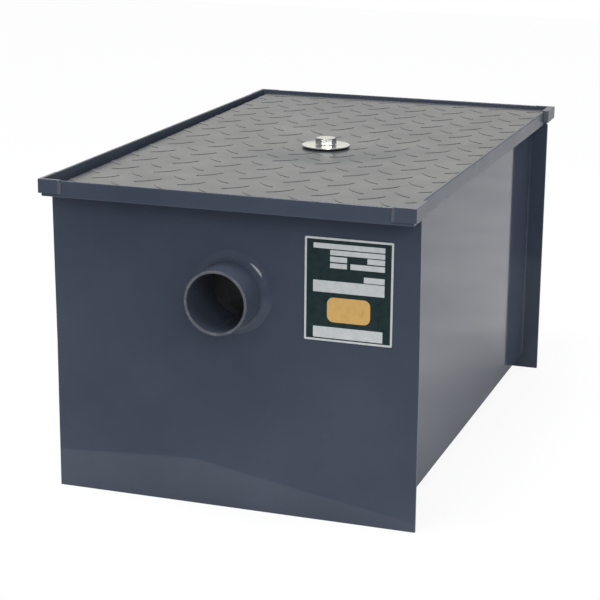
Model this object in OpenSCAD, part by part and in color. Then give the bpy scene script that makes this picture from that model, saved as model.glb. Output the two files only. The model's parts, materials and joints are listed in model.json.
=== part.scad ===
// Grease trap: a welded sheet steel tank with a raised rim, a tread plate cover held down by one
// centre bolt, a pipe stub at each end and three baffles that lift out of guides.
// Millimetres, +Z up, inlet end at -Y. The origin is on the floor, under the middle of the tank.

/* [Tank] */
// Length over the outer faces of the two end plates
tank_length = 540; // [440:5:700]
// Width over the outer faces of the two side walls
tank_width = 318; // [290:1:330]
// Height of the end plates, from the ground to the underside of the rim
wall_height = 291; // [280:1:400]
// How far the end plates stand past the side walls on each side
plate_flank = 19; // [12:0.5:40]
// Height of the side walls and the bottom plate over the ground, where only the end plates stand
foot_height = 15; // [5:1:40]
// Thickness of the tank sheet
sheet = 3; // [2:0.5:5]

/* [Rim] */
// Overhang of the end bars past the outer faces of the end plates
end_overhang = 26.3; // [20:0.1:35]
// Overhang of the side bars past the outer faces of the side walls
side_overhang = 15.8; // [14:0.1:25]
// Height of the rim bars
rim_height = 15.5; // [13:0.5:30]
// Thickness of the rim bars and of the ledge they form
rim_sheet = 3; // [2:0.5:5]
// How far the ledge reaches past the inner faces of the plates and walls
ledge_reach = 2; // [1:0.1:8]

/* [Corner caps] */
// Length of a cap along the end bar
cap_end_length = 17; // [12:1:40]
// Length of a cap along the side bar
cap_side_length = 35; // [15:1:60]
// How far a cap stands past the end bar
cap_end_proud = 1.2; // [0.5:0.1:4]
// How far a cap stands past the side bar
cap_side_proud = 4.8; // [1:0.1:8]
// Thickness of a cap over the tops of the bars
cap_top_sheet = 0.7; // [0.5:0.1:3]
// How far a cap hangs down from the tops of the bars
cap_drop = 12.5; // [5:0.5:12.5]

/* [Cover] */
// Thickness of the cover plate without its tread
cover_sheet = 3; // [2:0.5:5]
// Clearance between the cover and the rim bars
cover_gap = 2; // [1:0.5:5]
// Thickness of the squeezed gasket
gasket_sheet = 4.5; // [1:0.5:6]
// Width of the gasket strip
gasket_width = 12; // [6:1:14]
// Margin from the edge of the cover to the gasket
gasket_margin = 2; // [1:0.5:4]
// How far the bolt pulls the middle of the cover down
dish_depth = 3; // [0.5:0.1:4]
// Radius of the dish that the bolt pulls in the cover
dish_radius = 110; // [60:1:120]
// Height of a tread lug
tread_height = 0.8; // [0.5:0.1:2]
// Length of a tread lug
tread_length = 28.5; // [20:0.5:30]
// Width of a tread lug
tread_width = 6; // [4:0.5:9]
// Spacing of like lugs across the cover
tread_pitch_x = 43.7; // [40:0.1:60]
// Spacing of like lugs along the cover
tread_pitch_y = 46.2; // [42:0.1:60]
// Shift of the tread pattern across the cover
tread_shift_x = -12; // [-20:1:20]
// Shift of the tread pattern along the cover
tread_shift_y = 1; // [-20:1:20]

/* [Pipe stubs] */
// Outside diameter of a stub
pipe_diameter = 60.3; // [48.3:0.1:88.9]
// Wall thickness of a stub
pipe_wall = 2.77; // [2:0.01:6]
// Height of the stubs' axis over the floor
pipe_height = 210; // [150:1:220]
// How far a stub stands out from its end plate
pipe_reach = 42.2; // [30:0.1:90]
// How far a stub stands into the tank
pipe_inside = 20; // [8:1:40]
// Chamfer round the mouth of a stub
mouth_chamfer = 0.8; // [0.2:0.1:1.5]
// Leg of the hollow weld fillet round a stub
weld_leg = 9; // [4:0.5:14]
// Gap between a stub and the hole in its end plate
pipe_fit = 0.2; // [0.1:0.1:1]

/* [Nameplate] */
// Width of the nameplate
nameplate_width = 82.5; // [50:0.5:90]
// Height of the nameplate
nameplate_height = 95.5; // [50:0.5:110]
// Thickness of the nameplate
nameplate_sheet = 0.6; // [0.3:0.1:2]
// Margin from the nameplate to the side edge of the end plate
nameplate_side_margin = 25.5; // [5:0.5:40]
// Margin from the nameplate to the top edge of the end plate
nameplate_top_margin = 22; // [5:0.5:60]

/* [Baffles] */
// Thickness of a baffle plate
baffle_sheet = 2; // [1.5:0.5:4]
// Clearance between a baffle and its guides
baffle_gap = 0.5; // [0.3:0.1:1.5]
// Distance of the inlet and outlet baffles from the inner faces of the end plates
baffle_inset = 75; // [60:1:110]
// Place of the middle baffle along the tank
middle_baffle_y = 60; // [40:1:90]
// Drop from the underside of the rim to the tops of the baffles
baffle_drop = 41; // [36:1:60]
// Height of the flow gap under the inlet and outlet baffles
flow_gap = 45; // [30:1:70]
// Height of the middle baffle's bottom edge over the floor plate
middle_gap = 20; // [10:1:40]
// Width of the folded lip that a baffle is lifted by
lip_width = 16; // [10:1:25]
// Gap between the ends of the lip and the guides
lip_gap = 3; // [2:0.5:8]
// How far a guide stands out from the side wall
guide_depth = 10; // [8:0.5:14]
// Thickness of the guide's cheeks and back
guide_sheet = 2; // [1.5:0.5:3]

/* [Hold-down] */
// Diameter of the bolt's shank
bolt_diameter = 12.7; // [10:0.1:16]
// Length of the bolt's shank
bolt_length = 63.5; // [60:0.5:75]
// Width of the hex head and the nut across the flats
hex_width = 19; // [17:0.1:24]
// Height of the hex head
head_height = 7; // [6:0.5:11]
// Turn of the hex head about its axis
head_turn = 23; // [0:1:60]
// Height of the nut
nut_height = 11; // [8:0.5:14]
// Diameter of the steel washer
washer_diameter = 50; // [36:0.1:60]
// Thickness of the steel washer
washer_sheet = 1.6; // [1:0.1:3]
// Diameter of the rubber washer
seal_diameter = 46; // [30:0.1:48]
// Thickness of the rubber washer
seal_sheet = 1; // [0.5:0.1:3]
// Gap between the shank and the holes in the washers and the nut
shank_fit = 0.3; // [0.2:0.1:0.6]
// Gap between the shank and the holes in the cover and the bar
shank_clearance = 0.8; // [0.5:0.1:2]
// Flat margin round the washers on the cover
washer_margin = 2; // [1:0.5:6]
// Width of the hold-down bar
bar_width = 38; // [30:1:50]
// Thickness of the hold-down bar
bar_sheet = 6; // [5:0.5:10]
// Gap between the bar's ends and the side walls
bar_end_gap = 1; // [0.5:0.5:3]
// Drop from the underside of the dish to the top of the bar
bar_drop = 37.5; // [36:0.5:42]
// Leg of the angle brackets that hold the bar down
bracket_leg = 25; // [20:1:32]
// Thickness of the brackets
bracket_sheet = 3; // [2:0.5:5]

/* [Hidden] */
$fn = 96;
enamel = [0.27, 0.30, 0.35];
zinc = [0.75, 0.76, 0.74];
rubber = [0.12, 0.12, 0.12];
galvanised = [0.60, 0.62, 0.63];
plate_green = [0.10, 0.17, 0.17];
// A cut or a mitre prism runs this far past the faces it cuts
overcut = 1;
// The cone that turns off a hexagon's corners widens by this much for each unit of its height
corner_cone = 2;

// Half sizes of the tank
plate_y = tank_length / 2;
plate_inner_y = plate_y - sheet;
wall_x = tank_width / 2;
wall_inner_x = wall_x - sheet;
end_plate_width = tank_width + 2 * plate_flank;
floor_top = foot_height + sheet;

// The rim and what lies on its ledge
rim_x = wall_x + side_overhang;
rim_y = plate_y + end_overhang;
rim_top = wall_height + rim_height;
end_ledge = end_overhang + sheet + ledge_reach;
side_ledge = side_overhang + sheet + ledge_reach;
side_ledge_half = rim_y - end_ledge;
side_flange_half = rim_y - rim_sheet;
ledge_top = wall_height + rim_sheet;
cover_x = rim_x - rim_sheet - cover_gap;
cover_y = rim_y - rim_sheet - cover_gap;
cover_bottom = ledge_top + gasket_sheet;
cover_top = cover_bottom + cover_sheet;
pad_bottom = cover_bottom - dish_depth;
pad_top = cover_top - dish_depth;

// The bolt, from its washers down to the bar
seal_top = pad_top + seal_sheet;
washer_top = seal_top + washer_sheet;
shank_radius = bolt_diameter / 2;
pad_radius = max(washer_diameter, seal_diameter) / 2 + washer_margin;
bar_top = pad_bottom - bar_drop;
bar_bottom = bar_top - bar_sheet;
bar_half = wall_inner_x - bar_end_gap;

// The baffles and their guides
guide_width = baffle_sheet + 2 * baffle_gap + 2 * guide_sheet;
slot_depth = guide_depth - guide_sheet;
baffle_half = wall_inner_x - guide_sheet - baffle_gap;
lip_half = wall_inner_x - guide_depth - lip_gap;
baffle_top = wall_height - baffle_drop;
end_baffle_y = plate_inner_y - baffle_inset;

// Welded tank

module end_plate() {
    color(enamel)
        difference() {
            translate([-end_plate_width / 2, -plate_y, 0])
                cube([end_plate_width, sheet, wall_height]);
            translate([0, -plate_y - overcut, pipe_height])
                rotate([-90, 0, 0])
                    cylinder(r = pipe_diameter / 2 + pipe_fit, h = sheet + 2 * overcut);
        }
}

module inlet_end_plate() { end_plate(); }
module outlet_end_plate() { mirror([0, 1, 0]) end_plate(); }

module side_wall() {
    color(enamel)
        translate([wall_inner_x, -plate_inner_y, foot_height])
            cube([sheet, 2 * plate_inner_y, wall_height - foot_height]);
}

module right_side_wall() { side_wall(); }
module left_side_wall() { mirror([1, 0, 0]) side_wall(); }

module bottom_plate() {
    color(enamel)
        translate([-wall_inner_x, -plate_inner_y, foot_height])
            cube([2 * wall_inner_x, 2 * plate_inner_y, sheet]);
}

// An end bar is an angle along X over the full width of the rim. Its outer face looks to -Y.
module end_bar() {
    color(enamel)
        translate([-rim_x, -rim_y, wall_height]) {
            cube([2 * rim_x, end_ledge, rim_sheet]);
            cube([2 * rim_x, rim_sheet, rim_height]);
        }
}

// A side bar is an angle along Y whose flange runs on over the end bars' ledges. Its outer face looks to +X.
module side_bar() {
    color(enamel) {
        translate([rim_x - side_ledge, -side_ledge_half, wall_height])
            cube([side_ledge, 2 * side_ledge_half, rim_sheet]);
        translate([rim_x - rim_sheet, -side_ledge_half, wall_height])
            cube([rim_sheet, 2 * side_ledge_half, rim_height]);
        translate([rim_x - rim_sheet, -side_flange_half, ledge_top])
            cube([rim_sheet, 2 * side_flange_half, rim_height - rim_sheet]);
    }
}

module front_rim_bar() { end_bar(); }
module rear_rim_bar() { mirror([0, 1, 0]) end_bar(); }
module right_rim_bar() { side_bar(); }
module left_rim_bar() { mirror([1, 0, 0]) side_bar(); }

// A corner cap wraps the outside of two rim bars and lies over their tops.
module corner_cap() {
    outer_x = rim_x + cap_side_proud;
    outer_y = rim_y + cap_end_proud;
    start_x = rim_x - cap_end_length;
    start_y = rim_y - cap_side_length;
    color(enamel)
        difference() {
            translate([start_x, start_y, rim_top - cap_drop])
                cube([outer_x - start_x, outer_y - start_y, cap_drop + cap_top_sheet]);
            translate([start_x - overcut, start_y - overcut, rim_top - cap_drop - overcut])
                cube([cap_end_length + overcut, cap_side_length + overcut, cap_drop + overcut]);
            translate([start_x - overcut, start_y - overcut, rim_top - overcut])
                cube([
                    cap_end_length - rim_sheet + overcut,
                    cap_side_length - rim_sheet + overcut,
                    cap_top_sheet + 2 * overcut
                ]);
        }
}

module rear_right_cap() { corner_cap(); }
module rear_left_cap() { mirror([1, 0, 0]) corner_cap(); }
module front_right_cap() { mirror([0, 1, 0]) corner_cap(); }
module front_left_cap() { mirror([1, 0, 0]) mirror([0, 1, 0]) corner_cap(); }

// Half section of a pipe stub: x is the radius, y runs outward from the end plate's outer face.
module pipe_section() {
    outer = pipe_diameter / 2;
    inner = outer - pipe_wall;
    polygon([
        [inner, -sheet - pipe_inside],
        [outer, -sheet - pipe_inside],
        [outer, pipe_reach - mouth_chamfer],
        [outer - mouth_chamfer, pipe_reach],
        [inner + mouth_chamfer, pipe_reach],
        [inner, pipe_reach - mouth_chamfer]
    ]);
    difference() {
        translate([outer - pipe_wall / 2, 0])
            square([weld_leg + pipe_wall / 2, weld_leg]);
        translate([outer + weld_leg, weld_leg])
            circle(r = weld_leg);
    }
}

module pipe_stub() {
    color(enamel)
        translate([0, -plate_y, pipe_height])
            rotate([90, 0, 0])
                rotate_extrude()
                    pipe_section();
}

module inlet_pipe() { pipe_stub(); }
module outlet_pipe() { mirror([0, 1, 0]) pipe_stub(); }

module nameplate() {
    color(plate_green)
        translate([
            end_plate_width / 2 - nameplate_side_margin - nameplate_width,
            -plate_y - nameplate_sheet,
            wall_height - nameplate_top_margin - nameplate_height
        ])
            cube([nameplate_width, nameplate_sheet, nameplate_height]);
}

// Cover

module cover_gasket() {
    outer_x = cover_x - gasket_margin;
    outer_y = cover_y - gasket_margin;
    color(rubber)
        translate([0, 0, ledge_top])
            linear_extrude(height = gasket_sheet)
                difference() {
                    square([2 * outer_x, 2 * outer_y], center = true);
                    square([2 * (outer_x - gasket_width), 2 * (outer_y - gasket_width)], center = true);
                }
}

// A lug is a lens: the overlap of two equal circles.
module tread_lug(angle) {
    half_length = tread_length / 2;
    half_width = tread_width / 2;
    radius = (half_length * half_length + half_width * half_width) / tread_width;
    rotate(angle)
        intersection() {
            translate([0, radius - half_width])
                circle(r = radius);
            translate([0, half_width - radius])
                circle(r = radius);
        }
}

// One family of parallel lugs on a grid whose first lug is at (start_x, start_y).
module tread_family(start_x, start_y, angle) {
    columns = ceil((cover_x + tread_pitch_x) / tread_pitch_x);
    rows = ceil((cover_y + tread_pitch_y) / tread_pitch_y);
    for (i = [-columns:columns])
        for (j = [-rows:rows]) {
            x = start_x + i * tread_pitch_x;
            y = start_y + j * tread_pitch_y;
            on_cover = abs(x) < cover_x && abs(y) < cover_y;
            if (on_cover && norm([x, y]) > pad_radius)
                translate([x, y])
                    tread_lug(angle);
        }
}

// A cone that widens from the flat pad under the washers to the rim of the dish, and runs on past it.
module dish_cone(bottom, past) {
    slope = (dish_radius - pad_radius) / dish_depth;
    translate([0, 0, bottom])
        cylinder(r1 = pad_radius, r2 = dish_radius + slope * past, h = dish_depth + past);
}

// The cover plate with its dish and its bolt hole, thickened upward by lift.
module dished_plate(lift) {
    difference() {
        union() {
            translate([-cover_x, -cover_y, cover_bottom])
                cube([2 * cover_x, 2 * cover_y, cover_sheet + lift]);
            dish_cone(pad_bottom, 0);
        }
        dish_cone(pad_top + lift, overcut);
        translate([0, 0, pad_bottom - overcut])
            cylinder(r = shank_radius + shank_clearance, h = dish_depth + cover_sheet + 2 * overcut);
    }
}

module cover() {
    color(enamel) {
        dished_plate(0);
        intersection() {
            dished_plate(tread_height);
            translate([0, 0, pad_bottom])
                linear_extrude(height = dish_depth + cover_sheet + tread_height + overcut)
                    difference() {
                        union() {
                            tread_family(tread_shift_x, tread_shift_y, 45);
                            tread_family(
                                tread_shift_x + tread_pitch_x / 2,
                                tread_shift_y + tread_pitch_y / 2,
                                -45
                            );
                        }
                        circle(r = pad_radius);
                    }
        }
    }
}

// Hold-down

// A flat ring that lies on z = bottom.
module washer(diameter, bottom, thickness) {
    translate([0, 0, bottom])
        difference() {
            cylinder(d = diameter, h = thickness);
            translate([0, 0, -overcut])
                cylinder(r = shank_radius + shank_fit, h = thickness + 2 * overcut);
        }
}

module rubber_washer() { color(rubber) washer(seal_diameter, pad_top, seal_sheet); }
module steel_washer() { color(zinc) washer(washer_diameter, seal_top, washer_sheet); }

// A hexagon of the given width across its flats, with its upper corners turned off.
module hexagon(height) {
    corner_radius = hex_width / sqrt(3);
    intersection() {
        cylinder(r = corner_radius, h = height, $fn = 6);
        cylinder(r1 = hex_width / 2 + corner_cone * height, r2 = hex_width / 2, h = height);
    }
}

module hold_down_bolt() {
    color(zinc) {
        translate([0, 0, washer_top])
            rotate(head_turn)
                hexagon(head_height);
        translate([0, 0, washer_top - bolt_length])
            cylinder(r = shank_radius, h = bolt_length + head_height / 2);
    }
}

module hold_down_bar() {
    color(enamel)
        difference() {
            translate([-bar_half, -bar_width / 2, bar_bottom])
                cube([2 * bar_half, bar_width, bar_sheet]);
            translate([0, 0, bar_bottom - overcut])
                cylinder(r = shank_radius + shank_clearance, h = bar_sheet + 2 * overcut);
        }
}

// An angle on the side wall, with its flat leg over the end of the bar.
module bar_bracket() {
    color(enamel)
        translate([0, bar_width / 2, 0])
            rotate([90, 0, 0])
                linear_extrude(height = bar_width)
                    polygon([
                        [wall_inner_x, bar_top],
                        [wall_inner_x, bar_top + bracket_leg],
                        [wall_inner_x - bracket_sheet, bar_top + bracket_leg],
                        [wall_inner_x - bracket_sheet, bar_top + bracket_sheet],
                        [wall_inner_x - bracket_leg, bar_top + bracket_sheet],
                        [wall_inner_x - bracket_leg, bar_top]
                    ]);
}

module right_bar_bracket() { bar_bracket(); }
module left_bar_bracket() { mirror([1, 0, 0]) bar_bracket(); }

module bar_nut() {
    color(zinc)
        translate([0, 0, bar_bottom])
            mirror([0, 0, 1])
                difference() {
                    hexagon(nut_height);
                    translate([0, 0, -overcut])
                        cylinder(r = shank_radius + shank_fit, h = nut_height + 2 * overcut);
                }
}

// Baffles

// A channel on the right side wall, open upward, with a stop at the baffle's bottom edge.
module baffle_guide(y, stop) {
    color(enamel)
        difference() {
            translate([wall_inner_x - guide_depth, y - guide_width / 2, floor_top])
                cube([guide_depth, guide_width, baffle_top - floor_top]);
            translate([
                wall_inner_x - guide_depth - overcut,
                y - guide_width / 2 + guide_sheet,
                floor_top + stop
            ])
                cube([
                    slot_depth + overcut,
                    baffle_sheet + 2 * baffle_gap,
                    baffle_top - floor_top - stop + overcut
                ]);
        }
}

module inlet_right_guide() { baffle_guide(-end_baffle_y, flow_gap); }
module inlet_left_guide() { mirror([1, 0, 0]) baffle_guide(-end_baffle_y, flow_gap); }
module middle_right_guide() { baffle_guide(middle_baffle_y, middle_gap); }
module middle_left_guide() { mirror([1, 0, 0]) baffle_guide(middle_baffle_y, middle_gap); }
module outlet_right_guide() { baffle_guide(end_baffle_y, flow_gap); }
module outlet_left_guide() { mirror([1, 0, 0]) baffle_guide(end_baffle_y, flow_gap); }

// A plate that stands on the guides' stops, with a lip along its top to lift it by.
module baffle(y, stop) {
    color(galvanised)
        translate([0, y - baffle_sheet / 2, 0]) {
            translate([-baffle_half, 0, floor_top + stop])
                cube([2 * baffle_half, baffle_sheet, baffle_top - floor_top - stop]);
            translate([-lip_half, 0, baffle_top - baffle_sheet])
                cube([2 * lip_half, lip_width, baffle_sheet]);
        }
}

module inlet_baffle() { baffle(-end_baffle_y, flow_gap); }
module middle_baffle() { baffle(middle_baffle_y, middle_gap); }
module outlet_baffle() { baffle(end_baffle_y, flow_gap); }

inlet_end_plate();
outlet_end_plate();
left_side_wall();
right_side_wall();
bottom_plate();
front_rim_bar();
rear_rim_bar();
left_rim_bar();
right_rim_bar();
front_left_cap();
front_right_cap();
rear_left_cap();
rear_right_cap();
inlet_pipe();
outlet_pipe();
nameplate();
cover_gasket();
inlet_left_guide();
inlet_right_guide();
middle_left_guide();
middle_right_guide();
outlet_left_guide();
outlet_right_guide();
inlet_baffle();
middle_baffle();
outlet_baffle();
hold_down_bar();
left_bar_bracket();
right_bar_bracket();
bar_nut();
cover();
steel_washer();
rubber_washer();
hold_down_bolt();
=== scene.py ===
"""Grease trap: the visual model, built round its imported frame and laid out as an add-on."""

import json
import math

import bmesh
import bpy
from bpy.props import FloatProperty, FloatVectorProperty, PointerProperty
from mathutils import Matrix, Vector


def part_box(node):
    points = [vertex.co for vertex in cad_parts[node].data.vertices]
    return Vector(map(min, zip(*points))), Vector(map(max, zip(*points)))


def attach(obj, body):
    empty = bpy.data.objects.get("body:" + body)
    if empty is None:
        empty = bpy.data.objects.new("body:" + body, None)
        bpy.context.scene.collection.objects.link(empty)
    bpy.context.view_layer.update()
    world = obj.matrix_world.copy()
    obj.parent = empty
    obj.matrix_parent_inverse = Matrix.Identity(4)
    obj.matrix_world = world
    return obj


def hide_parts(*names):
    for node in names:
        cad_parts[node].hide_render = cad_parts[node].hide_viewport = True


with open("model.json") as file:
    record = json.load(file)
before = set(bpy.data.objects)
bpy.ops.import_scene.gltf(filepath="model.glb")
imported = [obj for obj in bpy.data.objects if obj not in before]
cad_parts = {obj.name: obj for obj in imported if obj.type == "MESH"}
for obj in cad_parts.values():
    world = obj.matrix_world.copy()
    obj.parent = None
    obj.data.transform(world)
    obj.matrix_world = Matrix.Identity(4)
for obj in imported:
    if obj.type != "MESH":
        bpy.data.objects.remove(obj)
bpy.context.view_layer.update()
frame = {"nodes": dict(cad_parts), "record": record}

bl_info = {
    "name": "Grease trap",
    "version": (1, 0, 0),
    "blender": (4, 5, 0),
    "location": "View3D > Sidebar > Grease trap",
    "description": "Models a floor-standing grease trap round its packed frame",
    "category": "Object",
}

X, Y, Z = 0, 1, 2
STUB = next(m for m in frame["record"]["mounts"] if m["name"] == "inlet_stub")
BORE = next(m for m in frame["record"]["mounts"] if m["name"] == "inlet_bore")
STUB_RADIUS = STUB["dims"]["r_mm"] / 1000
BORE_RADIUS = BORE["dims"]["r_mm"] / 1000
STUB_HEIGHT = STUB["pos_m"][Z]
SMOOTH_ANGLE = math.radians(35)
# Vertices nearer than this are doubles
DOUBLES = 0.000005
# How far a drill or a window runs past the piece that it cuts
THROUGH = 0.01
# Least part of an edge along the axis that it runs along, and of a normal along the way that it faces
STRAIGHT = 0.999
FACING = 0.9


def length_of(name, description, default):
    """A length that the panel shows."""
    return FloatProperty(name=name, description=description, default=default, unit='LENGTH')


def pair_of(name, description, default):
    """Two lengths, across and along the cover, that the panel shows."""
    return FloatVectorProperty(name=name, description=description, default=default, size=2, unit='LENGTH')


def colour_of(name, description, default):
    """A colour that the panel shows."""
    return FloatVectorProperty(name=name, description=description, default=default, subtype='COLOR')


class TrapSizes(bpy.types.PropertyGroup):
    """Sizes of the details that the visual model adds to the frame."""

    sheet_edge: length_of("Sheet edge", "Rounding along the edges of the tank's sheets", 0.0006)
    sheet_wave: length_of("Sheet wave", "Height of the slow waves in the tank's sheets", 0.0005)
    sheet_pitch: length_of("Sheet pitch", "Spacing of the rows that a sheet is cut into to be waved", 0.012)
    plate_lean: length_of("Plate lean", "How far the top of the inlet end plate leans to the left", 0.0014)
    wave_spread: length_of("Wave spread", "Distance between the waves in a sheet", 0.16)
    bar_edge: length_of("Bar edge", "Rounding along the edges of the rim bars", 0.0009)
    bar_wave: length_of("Bar wave", "Height of the waves in the rim bars", 0.0004)
    cap_edge: length_of("Cap edge", "Rounding along the edges of the corner caps", 0.0004)
    cap_wall: length_of("Cap wall", "Least wall of a corner cap", 0.0008)
    cap_bead: length_of("Cap bead", "Radius of the weld bead along the free ends of a corner cap", 0.0012)
    weld_leg: length_of("Weld leg", "Leg of the hollow weld fillet round a pipe stub", 0.009)
    weld_bury: length_of("Weld bury", "Depth to which the toe of a weld goes into its sheet", 0.0006)
    weld_lump: length_of("Weld lump", "Height of the lumps in a weld", 0.0009)
    bead_radius: length_of("Bead radius", "Radius of the weld beads in the tank's corners", 0.0015)
    mouth_edge: length_of("Mouth edge", "Rounding round the mouth of a pipe stub", 0.0009)
    bar_shift: length_of("Bar shift", "How far the upright of the left rim bar stands outward", 0.0044)
    bar_raise: length_of("Bar raise", "How far the left and rear rim bars stand over the others", 0.0006)
    bar_past: length_of("Bar past", "How far the end bars of the rim run past its side bars", 0.0022)
    dish_radius: length_of("Dish radius", "Radius of the dish that the bolt pulls in the cover", 0.110)
    cover_rise: length_of("Cover rise", "How far the uneven gasket lifts the rear of the cover", 0.0018)
    cover_drop: length_of(
        "Cover drop", "How far the uneven gasket lets the front of the cover down", 0.0030)
    gasket_edge: length_of("Gasket edge", "Rounding along the edges of the gasket", 0.0003)
    lug_length: length_of("Lug length", "Length of a tread lug", 0.0285)
    lug_width: length_of("Lug width", "Width of a tread lug", 0.006)
    lug_height: length_of("Lug height", "Height of a tread lug over the cover plate", 0.0004)
    lug_pitch: pair_of("Lug pitch", "Spacing of like lugs across and along the cover", (0.0437, 0.0462))
    lug_shift: pair_of(
        "Lug shift", "Shift of the tread pattern across and along the cover", (-0.012, 0.001))
    gasket_width: length_of("Gasket width", "Width of the gasket strip", 0.012)
    pad_margin: length_of("Pad margin", "Margin round the washer that is kept free of lugs", 0.002)
    head_turn: FloatProperty(
        name="Head turn", description="Turn of the bolt's hexagon head",
        default=math.radians(23), unit='ROTATION')
    thread_pitch: length_of("Thread pitch", "Rise of the bolt's thread in one turn", 0.001954)
    thread_depth: length_of("Thread depth", "Depth of the bolt's thread", 0.0011)
    plate_border: length_of("Plate border", "Width of the pale border round the nameplate", 0.0019)


class TrapColours(bpy.types.PropertyGroup):
    """Colours of the trap's finishes and of its stage."""

    enamel_dark: colour_of("Enamel, dark", "Darker shade of the slate enamel", (0.041, 0.051, 0.073))
    enamel_light: colour_of("Enamel, light", "Lighter shade of the slate enamel", (0.051, 0.062, 0.088))
    # Paler colour in specks round the mouth of a pipe stub
    enamel_mouth_pale: colour_of(
        "Enamel, worn", "Pale wear round the mouth of a pipe stub", (0.105, 0.108, 0.118))
    weld_worn: colour_of("Weld, worn", "Pale wear on the welds of the corner caps", (0.088, 0.094, 0.106))
    # The tread shades are lighter and greyer than the slate enamel: the lift is a painted reflection that
    # brightens the cover
    tread_dark_painted_reflection: colour_of(
        "Tread, dark", "Darker shade of the worn, dusty enamel on the cover", (0.056, 0.060, 0.066))
    tread_light_painted_reflection: colour_of(
        "Tread, light", "Lighter shade of the worn, dusty enamel on the cover", (0.072, 0.076, 0.080))
    zinc_dark: colour_of("Zinc, dark", "Darker shade of the zinc plate", (0.73, 0.73, 0.69))
    zinc_light: colour_of("Zinc, light", "Lighter shade of the zinc plate", (0.86, 0.86, 0.82))
    spangle_dark: colour_of("Spangle, dark", "Darker crystals of the galvanised sheet", (0.36, 0.38, 0.39))
    spangle_light: colour_of(
        "Spangle, light", "Lighter crystals of the galvanised sheet", (0.54, 0.56, 0.57))
    rubber_dark: colour_of("Rubber, dark", "Darker shade of the black rubber", (0.012, 0.012, 0.013))
    rubber_light: colour_of("Rubber, light", "Lighter shade of the black rubber", (0.028, 0.028, 0.029))
    plate_green: colour_of("Plate green", "Dark ground of the nameplate", (0.007, 0.021, 0.023))
    plate_pale: colour_of("Plate pale", "Pale border and fields of the nameplate", (0.44, 0.46, 0.46))
    plate_yellow: colour_of("Plate yellow", "Yellow field of the nameplate", (0.51, 0.31, 0.095))
    room_warm: colour_of(
        "Room, warm", "Warm upper part of the bright wall behind, as the gloss shows it", (1.0, 0.98, 0.90))
    room_cool: colour_of(
        "Room, cool", "Cool lower part of the bright wall behind, as the gloss shows it", (0.77, 0.79, 0.80))
    room_dim: colour_of("Room, dim", "Dim rest of the room, as the gloss shows it", (0.13, 0.14, 0.16))
    room_dark: colour_of("Room, dark", "Dark foot of the room, as the gloss shows it", (0.01, 0.011, 0.013))
    room_ground: colour_of(
        "Room, ground", "Ground in front of the floor's edge, as the gloss shows it", (0.34, 0.35, 0.37))
    fill: colour_of("Fill", "Even soft light from all sides", (0.85, 0.86, 0.88))
    floor_pale: colour_of("Floor", "Pale floor", (0.92, 0.92, 0.92))


# Helpers for modelling by operators

def sizes():
    """The sizes that the panel shows."""
    return bpy.context.scene.trap_sizes


def colours():
    """The colours that the panel shows."""
    return bpy.context.scene.trap_colours


def clear_selection():
    """Leaves edit mode and deselects every object."""
    if bpy.context.mode != 'OBJECT':
        bpy.ops.object.mode_set(mode='OBJECT')
    bpy.ops.object.select_all(action='DESELECT')


def pick(*pieces):
    """Selects these pieces alone; the first one is the active one."""
    clear_selection()
    for piece in pieces:
        piece.select_set(True)
    bpy.context.view_layer.objects.active = pieces[0]


def edit(piece):
    """Opens a piece in edit mode."""
    pick(piece)
    bpy.ops.object.mode_set(mode='EDIT')


def leave():
    """Goes back to object mode."""
    bpy.ops.object.mode_set(mode='OBJECT')


def choose_all():
    """Selects all of the edited mesh."""
    bpy.ops.mesh.select_all(action='SELECT')


def choose(piece, kind, test):
    """Selects the vertices, edges or faces of an edited piece that pass a test."""
    bpy.ops.mesh.select_mode(type=kind)
    bpy.ops.mesh.select_all(action='DESELECT')
    mesh = bmesh.from_edit_mesh(piece.data)
    parts = {'VERT': mesh.verts, 'EDGE': mesh.edges, 'FACE': mesh.faces}[kind]
    for part in parts:
        if test(part):
            part.select_set(True)
    mesh.select_flush_mode()
    bmesh.update_edit_mesh(piece.data)


def runs_along(edge, axis):
    """Whether an edge runs along one axis."""
    span = edge.verts[1].co - edge.verts[0].co
    return abs(span[axis]) > STRAIGHT * span.length


def on_axis(axis, distance):
    """A vector along one axis."""
    return [distance if a == axis else 0 for a in (X, Y, Z)]


def fix_place():
    """Puts the place, turn and scale of the picked piece into its mesh."""
    bpy.ops.object.transform_apply(location=True, rotation=True, scale=True)


def remove(piece):
    """Deletes a piece that is no longer needed."""
    pick(piece)
    bpy.ops.object.delete()


def settle(name):
    """Names the object just added and puts its place, turn and scale into its mesh."""
    piece = bpy.context.object
    piece.name = name
    piece.data.name = name
    fix_place()
    return piece


def start_block(name, low, high):
    """A box between two corners."""
    clear_selection()
    middle = [(a + b) / 2 for a, b in zip(low, high)]
    span = [b - a for a, b in zip(low, high)]
    bpy.ops.mesh.primitive_cube_add(size=1, location=middle, scale=span)
    return settle(name)


def start_rod(name, radius, low, high, axis, vertices=64):
    """A round rod along one axis, from its low end to its high end."""
    clear_selection()
    middle = [(a + b) / 2 for a, b in zip(low, high)]
    turn = {X: (0, math.pi / 2, 0), Y: (math.pi / 2, 0, 0), Z: (0, 0, 0)}[axis]
    bpy.ops.mesh.primitive_cylinder_add(
        vertices=vertices, radius=radius, depth=high[axis] - low[axis], location=middle, rotation=turn)
    return settle(name)


def extrude(step):
    """Extrudes what is selected by a step."""
    bpy.ops.mesh.extrude_region_move(TRANSFORM_OT_translate={"value": step})


def start_chain(name, points):
    """A chain of edges through points, drawn by extruding one vertex from point to point."""
    clear_selection()
    bpy.ops.mesh.primitive_plane_add(size=0.01, location=points[0])
    piece = settle(name)
    edit(piece)
    bpy.ops.mesh.select_mode(type='VERT')
    choose_all()
    bpy.ops.mesh.merge(type='CENTER')
    for before, after in zip(points, points[1:]):
        extrude([b - a for a, b in zip(before, after)])
    leave()
    return piece


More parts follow.
